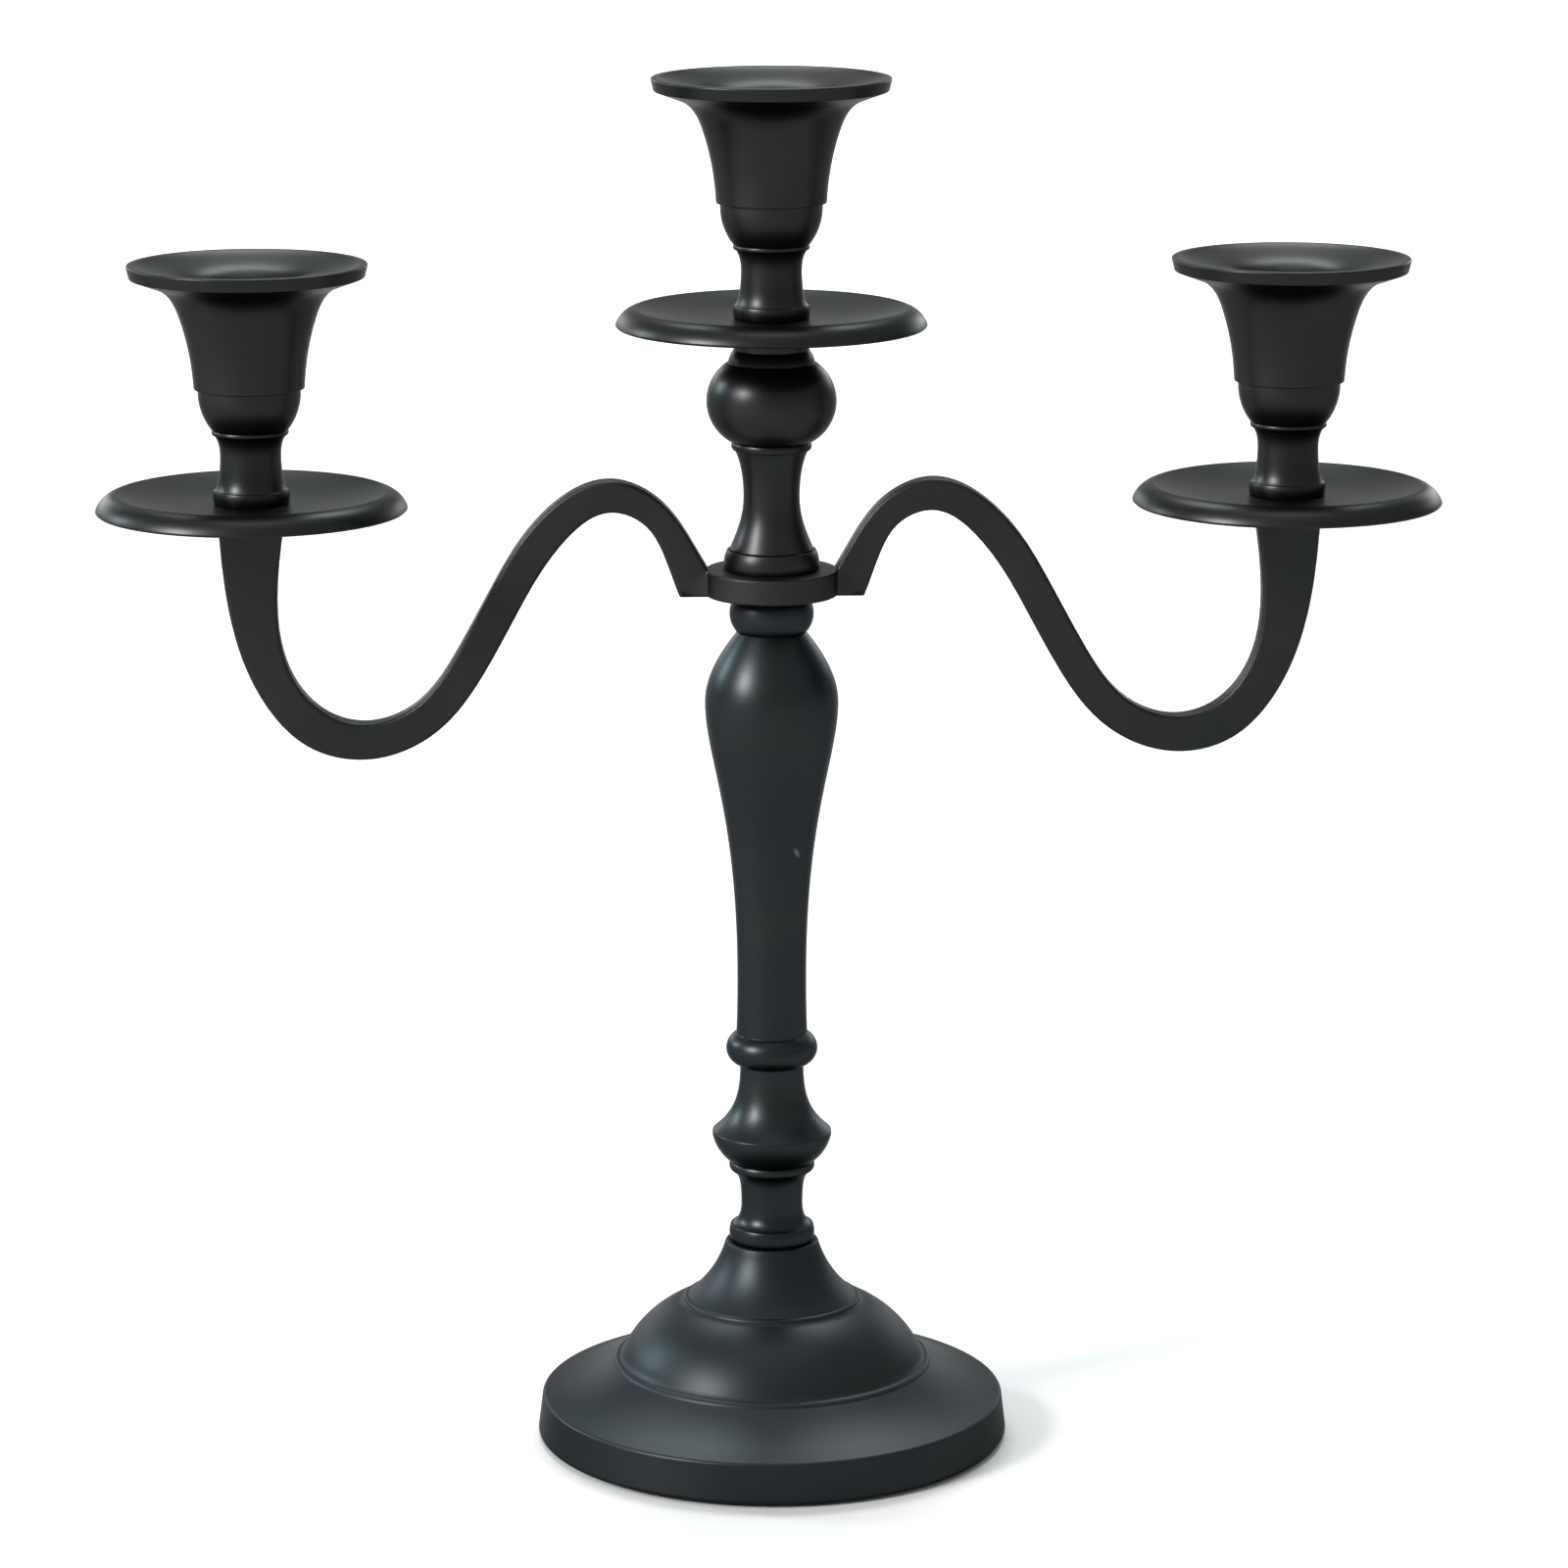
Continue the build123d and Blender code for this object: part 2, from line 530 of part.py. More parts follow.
pieces = {
    "base_pad": build_pad(),
    "base_foot": build_foot(),
    "foot_washer": build_washer(),
    "foot_nut": build_nut(),
    "tie_rod": build_rod(),
    "lower_spool": build_lower_spool(),
    "knop": build_knop(),
    "shaft": build_shaft(),
    "bead": build_bead(),
    "arm_yoke": build_arm_yoke(),
    "clamp_ring": build_clamp_ring(),
    "upper_spool": build_upper_spool(),
    "ball": build_ball(),
}
candle_places = {
    "left": (-ARM_REACH, SIDE_SEAT_Z, STUD_HOLD),
    "centre": (0, CENTRE_SEAT_Z, BALL_HEIGHT + STUD_HOLD_CENTRE),
    "right": (ARM_REACH, SIDE_SEAT_Z, STUD_HOLD),
}
for side, (x, seat, hold) in candle_places.items():
    pieces[side + "_stud"] = build_stud(x, seat, hold)
    pieces[side + "_drip_pan"] = build_pan(x, seat)
    pieces[side + "_neck"] = build_neck(x, seat)
    pieces[side + "_candle_cup"] = build_cup(x, seat)

os.makedirs("parts", exist_ok=True)
for name, piece in pieces.items():
    export_step(piece, f"parts/{name}.step")
whole = Compound(list(pieces.values())).bounding_box()
print(f"{len(pieces)} pieces, {whole.size.X:.1f} wide, {whole.size.Y:.1f} deep, {whole.size.Z:.1f} high")
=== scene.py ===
# %% [markdown]
# # A black candelabra, finished in Blender
# The imported CAD model gives each piece its outline and its place, in metres, in one shared frame. The
# looks could be drawn afresh, but a shape read from the imported model can't drift away from its joints
# and fits. So this lesson loads that frame, turns the round pieces again with softly eased edges, cuts
# the hidden threads, and lays a satin black coat over the metal. No CAD piece is moved: a new piece
# stands exactly where the old one stood.

# %% Load the frame
import json
import math

import bmesh
import bpy
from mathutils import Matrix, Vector


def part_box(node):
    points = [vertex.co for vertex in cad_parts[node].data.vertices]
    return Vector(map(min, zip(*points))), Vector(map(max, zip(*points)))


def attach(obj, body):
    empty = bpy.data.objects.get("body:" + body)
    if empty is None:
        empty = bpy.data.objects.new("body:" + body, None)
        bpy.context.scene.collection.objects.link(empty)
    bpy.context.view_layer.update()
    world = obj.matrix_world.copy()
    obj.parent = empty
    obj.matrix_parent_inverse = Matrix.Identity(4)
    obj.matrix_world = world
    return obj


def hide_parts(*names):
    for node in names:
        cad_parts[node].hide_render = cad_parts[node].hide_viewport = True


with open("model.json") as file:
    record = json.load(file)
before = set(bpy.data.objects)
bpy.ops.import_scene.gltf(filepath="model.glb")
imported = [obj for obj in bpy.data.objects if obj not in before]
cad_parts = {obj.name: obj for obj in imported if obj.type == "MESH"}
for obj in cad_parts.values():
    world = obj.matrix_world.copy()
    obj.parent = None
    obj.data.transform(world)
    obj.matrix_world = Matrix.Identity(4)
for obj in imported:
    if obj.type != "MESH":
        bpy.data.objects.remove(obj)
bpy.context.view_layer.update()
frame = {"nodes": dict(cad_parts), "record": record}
body_of_node = {}
for body, members in frame["record"]["behaviour"]["bodies"].items():
    for member in members:
        body_of_node[member] = body
scene = bpy.context.scene

# %% [markdown]
# ## Camera
# A tall, slim object is photographed from some way off through a long lens, a little from above, so
# that its uprights stay parallel and its rims show as thin ellipses. A camera could be set by eye, but
# the ellipses tell more: the distance, height and lens here were fitted to them. The camera stands
# slightly to the left, because one arm of the candelabra was turned a little towards it. The plain view
# transform shows white as white.

# %% Place the camera
CAMERA_OUT = 1.100
CAMERA_HEIGHT = 0.380
CAMERA_ROUND = math.radians(-2.7)
AIM_HEIGHT = 0.1324
AIM_RIGHT = 0.0024
LENS_MM = 132.7
SENSOR_MM = 36.0

camera_data = bpy.data.cameras.new("photo_camera")
camera_data.lens = LENS_MM
camera_data.sensor_width = SENSOR_MM
camera = bpy.data.objects.new("photo_camera", camera_data)
scene.collection.objects.link(camera)
to_right = Vector((math.cos(CAMERA_ROUND), math.sin(CAMERA_ROUND), 0))
to_back = Vector((-math.sin(CAMERA_ROUND), math.cos(CAMERA_ROUND), 0))
camera.location = -CAMERA_OUT * to_back + Vector((0, 0, CAMERA_HEIGHT))
aim = AIM_RIGHT * to_right + Vector((0, 0, AIM_HEIGHT))
camera.rotation_euler = (aim - camera.location).to_track_quat("-Z", "Y").to_euler()
scene.camera = camera
scene.view_settings.view_transform = "Standard"
print("camera at", [round(value, 3) for value in camera.location])

# %% [markdown]
# ## Floor
# The candelabra stands on something plain, matt and pale. A curved backdrop would do for a single
# picture, but this model is also looked at from behind, so the floor is one flat square that runs far
# out on all sides.

# %% Lay the floor
FLOOR_HALF = 12.0

floor_mesh = bpy.data.meshes.new("studio_floor")
floor_corners = [(-FLOOR_HALF, -FLOOR_HALF, 0), (FLOOR_HALF, -FLOOR_HALF, 0)]
floor_corners += [(FLOOR_HALF, FLOOR_HALF, 0), (-FLOOR_HALF, FLOOR_HALF, 0)]
floor_mesh.from_pydata(floor_corners, [], [(0, 1, 2, 3)])
floor = bpy.data.objects.new("studio_floor", floor_mesh)
scene.collection.objects.link(floor)
print("floor", 2 * FLOOR_HALF, "m square")

# %% [markdown]
# ## The floor's finish
# Black metal mirrors what lies before it, so the brightness of the floor close by sets how black the
# metal looks. One grey all over would either pale the metal or dim the background. So the floor is
# light grey near the foot and turns white further out. A finish in Blender is a tree of nodes: here the
# distance from the middle is measured, stretched to run from nothing to one, and turned into a colour.
# Small helpers for such steps keep this finish and the next ones short enough to read as recipes.

# %% Mix the floor's finish
FLOOR_NEAR = 1.2
FLOOR_FAR = 3.4
NEAR_GREY = (0.41, 0.41, 0.41)
FAR_WHITE = (0.9, 0.9, 0.9)
FLOOR_ROUGH = 0.9


def new_finish(name):
    """A material with its node tree, its principled shader and the object's own coordinates."""
    material = bpy.data.materials.new(name)
    material.use_nodes = True
    tree = material.node_tree
    shader = tree.nodes["Principled BSDF"]
    place = tree.nodes.new("ShaderNodeTexCoord").outputs["Object"]
    return material, tree, shader, place


def length_of(tree, vector):
    """How long a vector is."""
    node = tree.nodes.new("ShaderNodeVectorMath")
    node.operation = "LENGTH"
    tree.links.new(vector, node.inputs[0])
    return node.outputs["Value"]


def stretched(tree, value, from_low, from_high, to_low=0.0, to_high=1.0):
    """A value carried from one range over to another, and held within it."""
    node = tree.nodes.new("ShaderNodeMapRange")
    node.inputs["From Min"].default_value = from_low
    node.inputs["From Max"].default_value = from_high
    node.inputs["To Min"].default_value = to_low
    node.inputs["To Max"].default_value = to_high
    tree.links.new(value, node.inputs["Value"])
    return node.outputs["Result"]


def ramp(tree, value, low, high, start=0.35, end=0.65):
    """Colours between two, as a value runs from its start to its end."""
    node = tree.nodes.new("ShaderNodeValToRGB")
    node.color_ramp.elements[0].position = start
    node.color_ramp.elements[0].color = (*low, 1)
    node.color_ramp.elements[1].position = end
    node.color_ramp.elements[1].color = (*high, 1)
    tree.links.new(value, node.inputs["Fac"])
    return node.outputs["Color"]


def pale_floor():
    """Matt, light grey close by and white further out."""
    material, tree, shader, place = new_finish("pale_floor")
    share = stretched(tree, length_of(tree, place), FLOOR_NEAR, FLOOR_FAR)
    colour = ramp(tree, share, NEAR_GREY, FAR_WHITE, start=0.0, end=1.0)
    tree.links.new(colour, shader.inputs["Base Color"])
    shader.inputs["Roughness"].default_value = FLOOR_ROUGH
    return material


floor.data.materials.append(pale_floor())
print("floor finish", floor.data.materials[0].name)

# %% [markdown]
# ## Air
# Behind the floor's far edge a studio has bright walls. Walls of mesh would stand in the way of some
# views, so a band of haze in the world's own light takes their place. It is about as bright as the
# floor, lies low all the way round, and ends a little above the horizon. Higher up the air is dark, and
# that keeps the metal black.

# %% Fill the air
HAZE = 0.8
HAZE_FULL = math.radians(8)
HAZE_GONE = math.radians(16)
COOL = (0.96, 0.995, 1.0)

world = bpy.data.worlds.new("studio_air")
world.use_nodes = True
air = world.node_tree
background = air.nodes["Background"]
direction = air.nodes.new("ShaderNodeTexCoord").outputs["Generated"]
upward = air.nodes.new("ShaderNodeSeparateXYZ")
air.links.new(direction, upward.inputs["Vector"])
rise = upward.outputs["Z"]
haze = stretched(air, rise, math.sin(HAZE_FULL), math.sin(HAZE_GONE), to_low=HAZE, to_high=0.0)
air.links.new(haze, background.inputs["Strength"])
background.inputs["Color"].default_value = (*COOL, 1)
scene.world = world
print("haze up to", round(math.degrees(HAZE_GONE)), "degrees above the horizon")

# %% [markdown]
# ## Lights
# Black satin metal shows little colour of its own. What the eye reads is where the lights sit in its
# curves, so the lights are placed by the highlights, and not by a fixed studio plan. One soft box at
# the front left makes the warm streak a third of the way in, and a small cool panel further round makes
# the bluish spot beside it. A box above and behind shines into the cups, and low panels far behind lie
# in the pans and the flange, which mirror them at a flat angle. Overhead a wide tent of light and a
# narrower ceiling whiten the floor and the upper edges.

# %% Hang the lights
MIDDLE = Vector((0, 0, 0.15))
WARM = (1.0, 0.97, 0.94)
TEAL = (0.78, 0.95, 1.0)
BACK_PANELS = (("left", 150, 80), ("middle", 180, 4), ("right", -150, 80))


def add_light(data, colour):
    """A light in the scene that the camera itself doesn't see."""
    data.color = colour
    light = bpy.data.objects.new(data.name, data)
    light.visible_camera = False
    scene.collection.objects.link(light)
    return light


def soft_box(name, turn, rise, distance, width, height, watts, colour):
    """Rectangular light, so many degrees to the camera's left and up, that faces the object's middle."""
    data = bpy.data.lights.new(name, "AREA")
    data.shape = "RECTANGLE"
    data.size = width
    data.size_y = height
    data.energy = watts
    light = add_light(data, colour)
    turned = math.radians(turn)
    raised = math.radians(rise)
    level = -math.sin(turned) * to_right - math.cos(turned) * to_back
    outward = math.cos(raised) * level + Vector((0, 0, math.sin(raised)))
    light.location = MIDDLE + distance * outward
    light.rotation_euler = (-outward).to_track_quat("-Z", "Y").to_euler()


def sky_patch(name, energy, degrees, colour):
    """Light from a round patch of sky straight above."""
    data = bpy.data.lights.new(name, "SUN")
    data.energy = energy
    data.angle = math.radians(degrees)
    add_light(data, colour)


soft_box("key_box", turn=57, rise=29, distance=3.5, width=0.75, height=0.95, watts=175, colour=WARM)
soft_box("edge_panel", turn=116, rise=20, distance=3.2, width=0.40, height=0.75, watts=60, colour=TEAL)
soft_box("cup_box", turn=180, rise=56, distance=3.2, width=2.2, height=1.0, watts=132, colour=COOL)
for side, turn, watts in BACK_PANELS:
    name = "back_panel_" + side
    soft_box(name, turn, rise=11, distance=5.0, width=2.3, height=1.1, watts=watts, colour=COOL)
sky_patch("tent", energy=2.2, degrees=150, colour=COOL)
sky_patch("ceiling", energy=0.55, degrees=30, colour=COOL)

# %% [markdown]
# ## Zinc plate
# The rod, studs, nut and washer inside are zinc-plated steel, a soft grey mirror with cloudy patches a
# few millimetres wide. A plain grey metal would look too clean. One noise at the size of the clouds
# drives both the colour and the roughness, because on real plating the two change together.

# %% Mix the zinc plate
ZINC_CLOUD = {"size": 0.004, "detail": 4.0}
ZINC_GREY = (0.42, 0.43, 0.44)
ZINC_WARM = (0.62, 0.61, 0.57)
ZINC_ROUGH = (0.28, 0.42)
NOISE_RANGE = (0.3, 0.7)


def grain(tree, place, size, detail=2.0, rough=0.5):
    """Noise whose lumps are about one size, in metres."""
    noise = tree.nodes.new("ShaderNodeTexNoise")
    noise.inputs["Scale"].default_value = 1 / size
    noise.inputs["Detail"].default_value = detail
    noise.inputs["Roughness"].default_value = rough
    tree.links.new(place, noise.inputs["Vector"])
    return noise.outputs["Fac"]


def zinc_plate():
    """Soft grey mirror with cloudy patches."""
    material, tree, shader, place = new_finish("zinc_plate")
    cloud = grain(tree, place, **ZINC_CLOUD)
    tree.links.new(ramp(tree, cloud, ZINC_GREY, ZINC_WARM), shader.inputs["Base Color"])
    tree.links.new(stretched(tree, cloud, *NOISE_RANGE, *ZINC_ROUGH), shader.inputs["Roughness"])
    shader.inputs["Metallic"].default_value = 1.0
    return material


zinc = zinc_plate()
print("finish", zinc.name)

# %% [markdown]
# ## Foam rubber
# Under the foot lies a disc of black foam rubber, dull and full of tiny pits. A noise would give soft
# lumps. A cell pattern gives the pits themselves: its distance is smallest in the middle of each cell,
# so the same value sinks the pits and paints shade into them.

# %% Mix the foam rubber
FOAM_CELL = 0.0006
# Painted shade: the colour deep in each pit.
FOAM_PIT_SHADE = (0.008, 0.008, 0.008)
FOAM_SKIN = (0.022, 0.022, 0.021)
FOAM_RELIEF = {"depth": 0.0002, "strength": 0.6}
FOAM_ROUGH = 0.92


def bumped(tree, height, depth, strength, below=None):
    """Surface relief of a real depth, in metres, on top of the relief below it."""
    node = tree.nodes.new("ShaderNodeBump")
    node.inputs["Distance"].default_value = depth
    node.inputs["Strength"].default_value = strength
    tree.links.new(height, node.inputs["Height"])
    if below is not None:
        tree.links.new(below, node.inputs["Normal"])
    return node.outputs["Normal"]


def foam_rubber():
    """Dull black, full of tiny pits."""
    material, tree, shader, place = new_finish("foam_rubber")
    cells = tree.nodes.new("ShaderNodeTexVoronoi")
    cells.inputs["Scale"].default_value = 1 / FOAM_CELL
    tree.links.new(place, cells.inputs["Vector"])
    pits = cells.outputs["Distance"]
    # The darker colour in the pits is painted shade; the bump below sinks them for real.
    colour = ramp(tree, pits, FOAM_PIT_SHADE, FOAM_SKIN, start=0.1, end=0.7)
    tree.links.new(colour, shader.inputs["Base Color"])
    tree.links.new(bumped(tree, pits, **FOAM_RELIEF), shader.inputs["Normal"])
    shader.inputs["Roughness"].default_value = FOAM_ROUGH
    return material


foam = foam_rubber()
print("finish", foam.name)

# %% [markdown]
# ## Tool rings
# A lathe tool leaves fine rings, and on a turned piece they still show faintly through the coat. A wave
# pattern would space them like a record's grooves. Real rings are uneven, so this is a noise that is
# given only the distance from the axis and the height: it can't change on the way round, and so it
# draws rings.

# %% Prepare the tool rings
TOOL_RING = {"size": 0.00035, "detail": 1.0}
SQUARE_ROOT = 0.5


def arithmetic(tree, operation, *values):
    """One step of arithmetic on node outputs, with plain numbers where given."""
    node = tree.nodes.new("ShaderNodeMath")
    node.operation = operation
    for socket, value in zip(node.inputs, values):
        if isinstance(value, float):
            socket.default_value = value
        else:
            tree.links.new(value, socket)
    return node.outputs[0]


def tool_rings(tree, place):
    """Noise that changes with radius and height only, as a lathe tool leaves it."""
    parts = tree.nodes.new("ShaderNodeSeparateXYZ")
    tree.links.new(place, parts.inputs["Vector"])
    x, y, height = parts.outputs
    x_square = arithmetic(tree, "MULTIPLY", x, x)
    square = arithmetic(tree, "MULTIPLY_ADD", y, y, x_square)
    radius = arithmetic(tree, "POWER", square, SQUARE_ROOT)
    both = tree.nodes.new("ShaderNodeCombineXYZ")
    tree.links.new(radius, both.inputs["X"])
    tree.links.new(height, both.inputs["Z"])
    return grain(tree, both.outputs["Vector"], **TOOL_RING)


print("tool rings about", round(TOOL_RING["size"] * 1000, 2), "mm apart")

# %% [markdown]
# ## The nick
# Something once struck the shaft and left a small pale nick, about three millimetres long and slanting.
# It could be cut into the mesh, but it is only a scrape in the coat. So a small stretched ball, with
# its own place and tilt, marks it in the colour: full inside the ball's core, and fading out to its
# skin.

# %% Prepare the nick
NICK_COLOUR = (0.12, 0.125, 0.125)
NICK_PLACE = (0.0044, -0.0061, 0.1204)
NICK_REACH = (0.0006, 0.0020, 0.0016)
NICK_TILT = math.radians(-28)
NICK_SKIN = 1.0
NICK_CORE = 0.4


def nicked(tree, place, colour):
    """The coat's colour with one small pale patch in it, long in its own upright direction."""
    own = tree.nodes.new("ShaderNodeMapping")
    own.vector_type = "TEXTURE"
    own.inputs["Location"].default_value = NICK_PLACE
    own.inputs["Rotation"].default_value = (0, NICK_TILT, 0)
    own.inputs["Scale"].default_value = NICK_REACH
    tree.links.new(place, own.inputs["Vector"])
    away = length_of(tree, own.outputs["Vector"])
    mix = tree.nodes.new("ShaderNodeMixRGB")
    mix.inputs["Color2"].default_value = (*NICK_COLOUR, 1)
    tree.links.new(stretched(tree, away, NICK_SKIN, NICK_CORE), mix.inputs["Fac"])
    tree.links.new(colour, mix.inputs["Color1"])
    return mix.outputs["Color"]


print("nick at a height of", NICK_PLACE[2], "m")

# %% [markdown]
# ## The black coat
# The metal is sprayed satin black. Such a coat works as a dim mirror with a rough skin: it gives back
# about a fortieth of what stands before it, blurred, and gains little towards its outlines, which stay
# dark even on a white floor. Black plastic with a clear coat would turn pale there, so the shader's
# metal model is used instead. Its colour is the mirror's strength, and its tint holds the mirror down
# at flat angles. A sprayed coat is never quite even: the black drifts between a cooler and a warmer
# shade over a few centimetres, the sheen changes with it, and a fine orange-peel covers everything.
# Below that lie the tool's rings on a turned piece, and the sand's grain on the cast arms. One recipe
# serves all the pieces. The column and the foot are a little bluer than the cups, and the foot and the
# arms are rougher.

# %% Mix the black coats
CUP_BLACKS = ((0.0212, 0.0226, 0.0230), (0.0264, 0.0268, 0.0262))
COLUMN_BLACKS = ((0.0194, 0.0228, 0.0252), (0.0244, 0.0266, 0.0278))
CAST_BLACKS = ((0.0235, 0.0254, 0.0260), (0.0300, 0.0302, 0.0296))
COAT_ROUGH = (0.34, 0.40)
FOOT_ROUGH = (0.42, 0.50)
CAST_ROUGH = (0.42, 0.52)
FLAT_ANGLE_MIRROR = (0.5, 0.5, 0.5)
DRIFT = {"size": 0.030, "detail": 3.0}
SAND = {"size": 0.0008, "detail": 4.0, "rough": 0.6}
SAND_RELIEF = {"depth": 0.00012, "strength": 0.5}
RING_RELIEF = {"depth": 0.00002, "strength": 0.15}
PEEL = {"size": 0.0007}
PEEL_RELIEF = {"depth": 0.00003, "strength": 0.25}


def black_coat(name, blacks, rough=COAT_ROUGH, cast=False, nick=False):
    """Satin black, drifting between two blacks, over a turned or a sand-cast surface."""
    material, tree, shader, place = new_finish(name)
    drift = grain(tree, place, **DRIFT)
    colour = ramp(tree, drift, *blacks)
    if nick:
        colour = nicked(tree, place, colour)
    tree.links.new(colour, shader.inputs["Base Color"])
    tree.links.new(stretched(tree, drift, *NOISE_RANGE, *rough), shader.inputs["Roughness"])
    if cast:
        under = bumped(tree, grain(tree, place, **SAND), **SAND_RELIEF)
    else:
        under = bumped(tree, tool_rings(tree, place), **RING_RELIEF)
    skin = bumped(tree, grain(tree, place, **PEEL), **PEEL_RELIEF, below=under)
    tree.links.new(skin, shader.inputs["Normal"])
    shader.inputs["Metallic"].default_value = 1.0
    shader.inputs["Specular Tint"].default_value = (*FLAT_ANGLE_MIRROR, 1)
    return material


cup_coat = black_coat("black_coat_cups", CUP_BLACKS)
column_coat = black_coat("black_coat_column", COLUMN_BLACKS)
shaft_coat = black_coat("black_coat_shaft", COLUMN_BLACKS, nick=True)
foot_coat = black_coat("black_coat_foot", COLUMN_BLACKS, rough=FOOT_ROUGH)
cast_coat = black_coat("black_coat_cast", CAST_BLACKS, rough=CAST_ROUGH, cast=True)
print("finishes", [material.name for material in bpy.data.materials])

# %% [markdown]
# ## Reading an outline off a turned piece
# A turned piece is one outline spun round an axis. Its points could be typed in again, but the CAD mesh
# keeps the outline whole along its seam, the line where the surface starts and ends its turn. Chaining
# the mesh edges on that line gives the outline back in order, so a change in the CAD reaches the looks
# by itself. A piece with a bore gives a closed loop. A piece that is solid on its axis gives an open
# run, which is carried in to the axis at both ends.

# %% Read outlines
SEAM_GAP = 2e-6
POINT_PLACES = 6
AXIS_PLACES = 4


def axis_between(low, high):
    """Where a round piece's axis stands along X, half-way across its box."""
    return round((low.x + high.x) / 2, AXIS_PLACES)


def turned_outline(node):
    """The (radius, height) points of a turned piece in order, whether they close, and its axis along X."""
    mesh = frame["nodes"][node].data
    low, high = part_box(node)
    axis_x = axis_between(low, high)
    seam = {}
    for vertex in mesh.vertices:
        radius = vertex.co.x - axis_x
        if abs(vertex.co.y) < SEAM_GAP and radius > 0:
            seam[vertex.index] = (round(radius, POINT_PLACES), round(vertex.co.z, POINT_PLACES))
    links = {point: [] for point in seam.values()}
    for edge in mesh.edges:
        first, second = (seam.get(index) for index in edge.vertices)
        if first and second and first != second and second not in links[first]:
            links[first].append(second)
            links[second].append(first)
    ends = [point for point in links if len(links[point]) == 1]
    run = [min(ends or links, key=lambda point: (point[1], point[0]))]
    while True:
        onward = [point for point in links[run[-1]] if point not in run]
        if not onward:
            break
        run.append(onward[0])
    if ends:
        run = [(0.0, run[0][1]), *run, (0.0, run[-1][1])]
    return [Vector(point) for point in run], not ends, axis_x


for sample in ("knop", "left_candle_cup"):
    points, closed, axis_x = turned_outline(sample)
    print(sample, len(points), "points,", "closed" if closed else "open", "round the axis at", axis_x)

# %% [markdown]
# ## Filling creases and easing edges
# A real edge is never a knife: filing and the coat leave it a few tenths of a millimetre round, and
# that round is what catches the light as a thin bright line. A bevel modifier could do it, but on an
# outline it is simpler and cleaner: each sharp corner becomes a short curve before the outline is spun.
# A coat also runs into creases, so the bottoms of the foot's two grooves are filled.

# %% Fill and ease an outline
SHARP = math.radians(20)
CREASE = math.radians(125)
COAT_FILL = 0.0006
EASE_STEPS = 4
LARGEST_CUT = 0.45


def neighbours(points, index, closed):
    """The points before and after one, or none past an open end."""
    count = len(points)
    before = points[index - 1] if closed or index > 0 else None
    after = points[(index + 1) % count] if closed or index < count - 1 else None
    return before, after


def turn_at(points, index, closed):
    """How far the outline turns at a point, and nothing at an open end."""
    before, after = neighbours(points, index, closed)
    if before is None or after is None:
        return 0.0
    return (points[index] - before).angle(after - points[index], 0.0)


def filled(points, closed):
    """The outline without the bottoms of its sharpest creases."""
    creases = [point for index, point in enumerate(points) if turn_at(points, index, closed) > CREASE]
    return [point for point in points if all((point - crease).length > COAT_FILL for crease in creases)]


def eased(points, closed, radius):
    """The outline with its sharp corners rounded to about a radius."""
    softer = []
    for index, point in enumerate(points):
        turn = turn_at(points, index, closed)
        if turn < SHARP:
            softer.append(point)
            continue
        before, after = neighbours(points, index, closed)
        arriving = point - before
        leaving = after - point
        shorter = min(arriving.length, leaving.length)
        cut = min(radius * math.tan(turn / 2), LARGEST_CUT * shorter)
        start = point - cut * arriving.normalized()
        end = point + cut * leaving.normalized()
        for step in range(EASE_STEPS + 1):
            share = step / EASE_STEPS
            softer.append((1 - share) ** 2 * start + 2 * share * (1 - share) * point + share**2 * end)
    return softer


foot_points, foot_closed = turned_outline("base_foot")[:2]
foot_filled = filled(foot_points, foot_closed)
print("foot outline", len(foot_points), "points,", len(foot_filled), "after filling")

# %% [markdown]
# ## Refining curves
# The CAD mesh draws a curve with as few points as its tolerance allows, and a long highlight shows each
# of them as a kink. A subdivision modifier would smooth the curves, but it would also swell the flats.
# Here only curved runs get one more point, on the smooth curve that leaves one point and reaches the
# next along the outline's own headings. A run much longer than those beside it is a straight one, and
# is left alone.

# %% Refine an outline
LONG_RUN = 3.0


def headings_along(points, closed):
    """At each point, the outline's heading and the lengths of the runs before and after it."""
    headings = []
    for index, point in enumerate(points):
        before, after = neighbours(points, index, closed)
        arriving = point - before if before is not None else after - point
        leaving = after - point if after is not None else arriving
        heading = arriving.normalized() * leaving.length + leaving.normalized() * arriving.length
        headings.append((heading.normalized(), arriving.length, leaving.length))
    return headings


def finer(points, closed):
    """The outline with a point added half-way along each curved run."""
    headings = headings_along(points, closed)
    result = []
    for index, point in enumerate(points):
        result.append(point)
        after = neighbours(points, index, closed)[1]
        if after is None:
            continue
        heading, length_before, length = headings[index]
        next_heading, _, length_after = headings[(index + 1) % len(points)]
        if length < LONG_RUN * min(length_before, length_after):
            # Half-way, a cubic curve lies an eighth of its headings' difference off the straight line.
            result.append((point + after) / 2 + (heading - next_heading) * length / 8)
    return result


print("foot outline", len(finer(foot_filled, foot_closed)), "points after refining")

# %% [markdown]
# ## From rings to a mesh
# On a lathe the outline sweeps once round the axis. In a mesh each point of the outline becomes a ring,
# and neighbouring rings are joined by four-sided faces. A screw modifier could spin the outline too,
# but a plain mesh can be welded and measured at once. Wide pieces get more steps round than slim ones,
# so that every silhouette is equally smooth. Points on the axis fall together into one.

# %% Join rings into a mesh
STEPS_BELOW_RADIUS = ((0.010, 64), (0.018, 96), (0.035, 128))
WIDEST_STEPS = 192
WELD_GAP = 1e-7
SLIVER = 1e-8


def steps_round(radius):
    """Steps in a full turn for a piece of this radius."""
    for limit, steps in STEPS_BELOW_RADIUS:
        if radius < limit:
            return steps
    return WIDEST_STEPS


